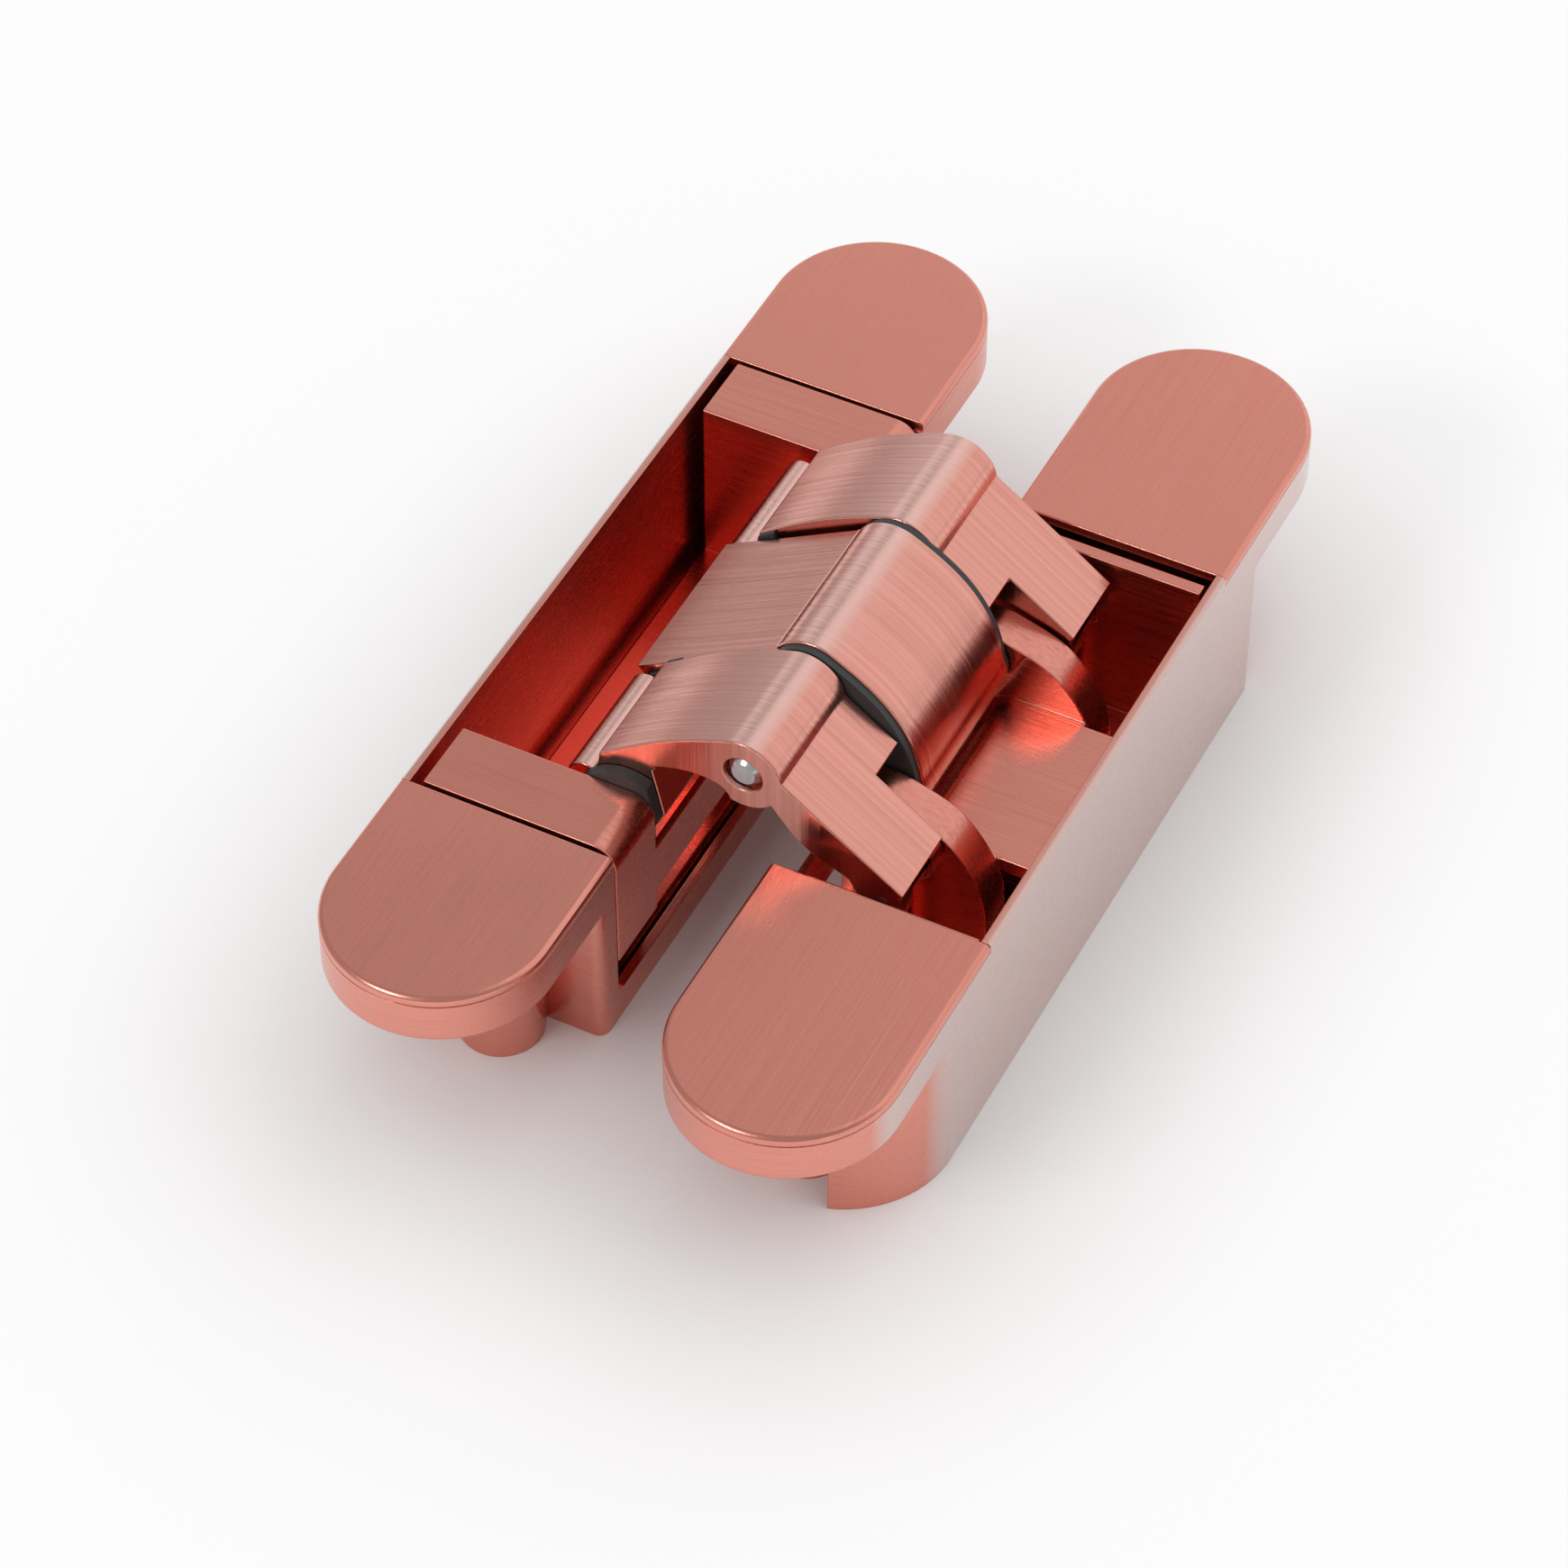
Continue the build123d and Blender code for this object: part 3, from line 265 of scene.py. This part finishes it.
def painted_pocket_light(nodes, links, tone, reflected_red, shaded_red, casting):
    """Paint light into the pockets: a brighter red painted reflection on the low upright
    faces, and painted shade on the low flat ones where a shade colour is given.
    """
    shares = [banded(nodes, links, "Object", "Z", BELOW_THE_FACES, rising=False),
              banded(nodes, links, "Object", "Z", ABOVE_THE_BACKS)]
    if casting:
        shares.append(banded(nodes, links, "Object", "X", POCKET_SIDES))
        shares.append(banded(nodes, links, "Object", "Y", POCKET_ENDS, rising=False))
    upright = banded(nodes, links, "Normal", "Z", FLAT, rising=False)
    tone = mixed(nodes, links, product(nodes, links, [*shares, upright]), tone, reflected_red)
    if shaded_red:
        flat = banded(nodes, links, "Normal", "Z", FLAT)
        tone = mixed(nodes, links, product(nodes, links, [*shares, flat]), tone, shaded_red)
    return tone


def brushed_metal(name, colour, streak, roughness, scale, depth, contrast=1.0, coat=0.0,
                  coat_ior=1.7, end_scale=None, upward_sheen=None, reflected_red=None, shaded_red=None, outer=None,
                  edge=None):
    """Metal brushed along the axis whose scale is smallest; it can carry a painted sheen on
    faces that look up, painted reflection and painted shade low in the pockets, and on a
    casting a paler painted sheen on its outer walls.
    """
    material, nodes, links, shader = new_material(name)
    lines = brush_lines(nodes, links, scale, end_scale)
    tone = mixed(nodes, links, ranged(nodes, links, lines, 0.0, contrast), colour, streak)
    shader.inputs["Metallic"].default_value = 1.0
    shader.inputs["Coat Weight"].default_value = coat
    shader.inputs["Coat Roughness"].default_value = 0.25
    shader.inputs["Coat IOR"].default_value = coat_ior
    # Painted sheen: faces that look straight up turn paler
    if upward_sheen:
        tone = mixed(nodes, links, banded(nodes, links, "Normal", "Z", CREST), tone, upward_sheen)
    # Painted light low in the pockets: reflection on the upright faces, shade on the flat
    # ones
    if reflected_red:
        tone = painted_pocket_light(nodes, links, tone, reflected_red, shaded_red, casting=bool(outer))
    # Painted sheen on the outer walls, which also get the full coat
    if outer:
        outside = banded(nodes, links, "Object", "X", OUTER_WALLS)
        tone = mixed(nodes, links, outside, tone, outer)
        links.new(ranged(nodes, links, outside, INNER_COAT, coat, 0.0, 1.0),
                  shader.inputs["Coat Weight"])
    links.new(tone, shader.inputs["Base Color"])
    fine = ranged(nodes, links, lines, roughness - ROUGHNESS_SPREAD,
                  roughness + ROUGHNESS_SPREAD)
    patches = stretched_noise(nodes, links, PATCHES, 3.0, 0.5)
    broad = ranged(nodes, links, patches, -PATCH_SPREAD, PATCH_SPREAD)
    links.new(calculated(nodes, links, "ADD", fine, broad), shader.inputs["Roughness"])
    bump = relief(nodes, links, shader, lines, depth)
    if edge:
        rounded = nodes.new("ShaderNodeBevel")
        rounded.samples = 4
        rounded.inputs["Radius"].default_value = edge
        links.new(rounded.outputs["Normal"], bump.inputs["Normal"])
    return material


def moulded_plastic(name, colour):
    """Dark plastic with a fine eroded grain."""
    material, nodes, links, shader = new_material(name)
    grain = stretched_noise(nodes, links, PLASTIC_GRAIN, 3.0, 0.6)
    paler = tuple(1.7 * c for c in colour)
    links.new(mixed(nodes, links, grain, colour, paler), shader.inputs["Base Color"])
    links.new(ranged(nodes, links, grain, 0.38, 0.55), shader.inputs["Roughness"])
    relief(nodes, links, shader, grain, GRAIN_DEPTH, 0.5)
    return material


def copper_of(role, f):
    """What sets one copper finish apart from the others."""
    plated = {"colour": tuple(f.copper), "streak": tuple(f.copper_streak),
              "roughness": f.roughness, "depth": PLATE_LINES}
    fine = {**plated, "scale": FINE_ALONG_Y, "depth": FINE_LINES, "contrast": 0.35,
            "coat": 0.15, "end_scale": ROUND_THE_RIM}
    # The carriers get painted reflection on their low upright faces
    crosswise = {**plated, "scale": ALONG_X, "coat": 0.3, "reflected_red": tuple(f.painted_pocket_reflection)}
    return {
        "copper_fine": fine,
        "copper_lengthwise": {**plated, "scale": ALONG_Y, "contrast": 0.6, "coat": 0.15,
                              "end_scale": ROUND_THE_RIM},
        # The casings get painted reflection and painted shade in their pockets and a painted
        # sheen on their outer walls
        "copper_cast": {**fine, "coat": 1.0, "coat_ior": 1.9, "reflected_red": tuple(f.painted_pocket_reflection),
                        "shaded_red": tuple(f.painted_pocket_shade), "outer": tuple(f.painted_wall_sheen),
                        "edge": f.edge},
        # The arms get a painted sheen where they look straight up
        "copper_round": {"colour": tuple(f.arm_copper), "streak": tuple(f.arm_streak),
                         "roughness": f.roughness - 0.06, "scale": ROUND_PROFILE,
                         "depth": ARM_LINES, "contrast": 0.8, "coat": 0.5, "coat_ior": 1.9,
                         "end_scale": UP_THE_ENDS, "upward_sheen": tuple(f.painted_arm_sheen)},
        "copper_crosswise": crosswise,
        # The left carrier also gets painted shade on its low flat faces
        "copper_pocket": {**crosswise, "shaded_red": tuple(f.painted_pocket_shade)},
    }[role]


def finish_of(role):
    """Build the material of a role once and hand it out again after that."""
    found = bpy.data.materials.get(role)
    if found:
        return found
    f = bpy.context.scene.hinge_finish
    if role == "plastic":
        return moulded_plastic(role, tuple(f.plastic))
    if role == "steel":
        return brushed_metal(role, tuple(f.steel), tuple(0.8 * c for c in f.steel), 0.25,
                             TURNED, TURNED_LINES)
    if role == "bronze":
        return brushed_metal(role, tuple(f.bronze), tuple(0.7 * c for c in f.bronze), 0.42,
                             TURNED, BUSH_LINES)
    return brushed_metal(role, **copper_of(role, f))


def dress(node, role):
    """Give a CAD node its finish."""
    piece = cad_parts[node]
    piece.data.materials.clear()
    piece.data.materials.append(finish_of(role))
    return piece


def round_edges(piece, width, merge=MESH_MERGE):
    """Round the sharp edges of a CAD node with modifiers; its own mesh stays as it is."""
    weld = piece.modifiers.new("weld", "WELD")
    weld.merge_threshold = merge
    flat = piece.modifiers.new("flat", "DECIMATE")
    flat.decimate_type = "DISSOLVE"
    flat.angle_limit = math.radians(0.5)
    bevel = piece.modifiers.new("edges", "BEVEL")
    bevel.width = width
    bevel.segments = 3
    bevel.limit_method = "ANGLE"
    bevel.angle_limit = math.radians(30)
    bevel.use_clamp_overlap = False
    bevel.loop_slide = False
    normals = piece.modifiers.new("normals", "WEIGHTED_NORMAL")
    normals.keep_sharp = False


# Operators
class HINGE_OT_casings(bpy.types.Operator):
    """Dress both die-cast casings"""
    bl_idname = "hinge.casings"
    bl_label = "Casings"

    def execute(self, context):
        for node in ("left_casing", "right_casing"):
            dress(node, "copper_cast")
        return {"FINISHED"}


class HINGE_OT_covers(bpy.types.Operator):
    """Dress the four cover plates"""
    bl_idname = "hinge.covers"
    bl_label = "Covers"

    def execute(self, context):
        edge = context.scene.hinge_finish.edge
        for node in ("left_cover_lower", "left_cover_upper"):
            round_edges(dress(node, "copper_fine"), edge)
        for node in ("right_cover_lower", "right_cover_upper"):
            round_edges(dress(node, "copper_lengthwise"), edge)
        return {"FINISHED"}


class HINGE_OT_carriers(bpy.types.Operator):
    """Dress the carriers that hold the arms in the casings"""
    bl_idname = "hinge.carriers"
    bl_label = "Carriers"

    def execute(self, context):
        edge = context.scene.hinge_finish.edge
        round_edges(dress("left_carrier", "copper_pocket"), edge)
        round_edges(dress("right_carrier", "copper_crosswise"), edge)
        return {"FINISHED"}


class HINGE_OT_arms(bpy.types.Operator):
    """Dress the legs, the middle arm and the control links"""
    bl_idname = "hinge.arms"
    bl_label = "Arms"

    def execute(self, context):
        edge = ARM_EDGE * context.scene.hinge_finish.edge
        round_edges(dress("middle_arm", "copper_round"), edge)
        for node in ("outer_leg_lower", "outer_leg_upper"):
            round_edges(dress(node, "copper_round"), edge, LEG_MERGE)
        for node in ("left_control_link", "right_link_lower", "right_link_upper"):
            dress(node, "copper_fine")
        return {"FINISHED"}


class HINGE_OT_pins(bpy.types.Operator):
    """Dress the steel pins and the adjusters"""
    bl_idname = "hinge.pins"
    bl_label = "Pins and adjusters"

    def execute(self, context):
        for node in ("centre_pin", "left_pivot_pin", "right_pivot_pin", "middle_tail_pin",
                     "leg_tail_pins", "left_link_pin", "right_link_pins"):
            dress(node, "steel")
        for node in ("left_depth_screw_lower", "left_depth_screw_upper",
                     "right_height_cam_lower", "right_height_cam_upper"):
            dress(node, "steel")
        return {"FINISHED"}


class HINGE_OT_bearings(bpy.types.Operator):
    """Dress the bushes and the plastic spacers"""
    bl_idname = "hinge.bearings"
    bl_label = "Bushes and spacers"

    def execute(self, context):
        for node in ("leg_pivot_bushes", "centre_bushes", "middle_pivot_bushes"):
            dress(node, "bronze")
        for node in ("left_side_spacers", "arm_side_spacers", "leg_inner_spacers"):
            dress(node, "plastic")
        return {"FINISHED"}


def add_lamp(name, place, width, height, power):
    """Area lamp that faces the middle of the hinge."""
    data = bpy.data.lights.new(name, "AREA")
    data.shape = "RECTANGLE"
    data.size = width
    data.size_y = height
    data.energy = power
    lamp = bpy.data.objects.new(name, data)
    lamp.location = place
    aim = Vector(LAMP_TARGET) - Vector(place)
    lamp.rotation_euler = aim.to_track_quat("-Z", "Y").to_euler()
    bpy.context.scene.collection.objects.link(lamp)


def add_backdrop_white(nodes, links, shader, settings):
    """White seen by the eye and in gloss alone, which keeps the soft shadow."""
    path = nodes.new("ShaderNodeLightPath")
    seen = path.outputs["Is Camera Ray"]
    for name in ("Is Glossy Ray", "Is Transmission Ray"):
        seen = calculated(nodes, links, "MAXIMUM", seen, path.outputs[name])
    shade = nodes.new("ShaderNodeAmbientOcclusion")
    shade.samples = 8
    shade.inputs["Distance"].default_value = settings.shadow_reach
    white = ranged(nodes, links, shade.outputs["AO"], 0.0, settings.backdrop_white,
                   *OPEN_SHARE)
    shader.inputs["Emission Color"].default_value = (1, 1, 1, 1)
    links.new(calculated(nodes, links, "MULTIPLY", seen, white),
              shader.inputs["Emission Strength"])


def add_floor(scene, settings):
    """Wide pale floor at the height of the hinge's backs."""
    mesh = bpy.data.meshes.new("floor")
    corners = ((-1, -1), (1, -1), (1, 1), (-1, 1))
    mesh.from_pydata([(FLOOR_REACH * x, FLOOR_REACH * y, 0) for x, y in corners],
                     [], [(0, 1, 2, 3)])
    floor = bpy.data.objects.new("floor", mesh)
    scene.collection.objects.link(floor)
    material, nodes, links, shader = new_material("floor_white")
    shader.inputs["Base Color"].default_value = (*settings.floor_colour, 1)
    shader.inputs["Roughness"].default_value = 0.9
    add_backdrop_white(nodes, links, shader, settings)
    floor.data.materials.append(material)


def add_world(scene, settings):
    """Even white surroundings."""
    world = bpy.data.worlds.new("soft_white")
    world.use_nodes = True
    background = world.node_tree.nodes["Background"]
    background.inputs["Color"].default_value = (1, 1, 1, 1)
    background.inputs["Strength"].default_value = settings.world_strength
    scene.world = world


def add_camera(scene, settings):
    """Camera at the photograph's viewing angle."""
    data = bpy.data.cameras.new("camera")
    data.sensor_width = 36
    data.lens = settings.lens
    camera = bpy.data.objects.new("camera", data)
    camera.location = settings.camera_place
    camera.rotation_euler = (settings.camera_tilt, 0, settings.camera_turn)
    scene.collection.objects.link(camera)
    scene.camera = camera


class HINGE_OT_stage(bpy.types.Operator):
    """Make the floor, the soft light and the camera"""
    bl_idname = "hinge.stage"
    bl_label = "Stage"

    def execute(self, context):
        scene = context.scene
        settings = scene.stage_settings
        add_floor(scene, settings)
        add_world(scene, settings)
        for name, place, width, height in LAMPS:
            add_lamp(name, place, width, height, getattr(settings, name + "_power"))
        add_camera(scene, settings)
        scene.view_settings.view_transform = "Standard"
        return {"FINISHED"}


class HINGE_PT_panel(bpy.types.Panel):
    """Finishes and stage of the hinge"""
    bl_idname = "HINGE_PT_panel"
    bl_label = "Hinge"
    bl_space_type = "VIEW_3D"
    bl_region_type = "UI"
    bl_category = "Hinge"

    def draw(self, context):
        for group in (context.scene.hinge_finish, context.scene.stage_settings):
            for name in group.__annotations__:
                self.layout.prop(group, name)
        for operator in OPERATORS:
            self.layout.operator(operator.bl_idname)


OPERATORS = (HINGE_OT_casings, HINGE_OT_covers, HINGE_OT_carriers, HINGE_OT_arms,
             HINGE_OT_pins, HINGE_OT_bearings, HINGE_OT_stage)
CLASSES = (HingeFinish, StageSettings, *OPERATORS, HINGE_PT_panel)


def register():
    for cls in CLASSES:
        bpy.utils.register_class(cls)
    bpy.types.Scene.hinge_finish = bpy.props.PointerProperty(type=HingeFinish)
    bpy.types.Scene.stage_settings = bpy.props.PointerProperty(type=StageSettings)


def unregister():
    del bpy.types.Scene.stage_settings
    del bpy.types.Scene.hinge_finish
    for cls in reversed(CLASSES):
        bpy.utils.unregister_class(cls)


def main():
    register()
    bpy.ops.hinge.casings()
    bpy.ops.hinge.covers()
    bpy.ops.hinge.carriers()
    bpy.ops.hinge.arms()
    bpy.ops.hinge.pins()
    bpy.ops.hinge.bearings()
    bpy.ops.hinge.stage()


if __name__ == "__main__":
    main()
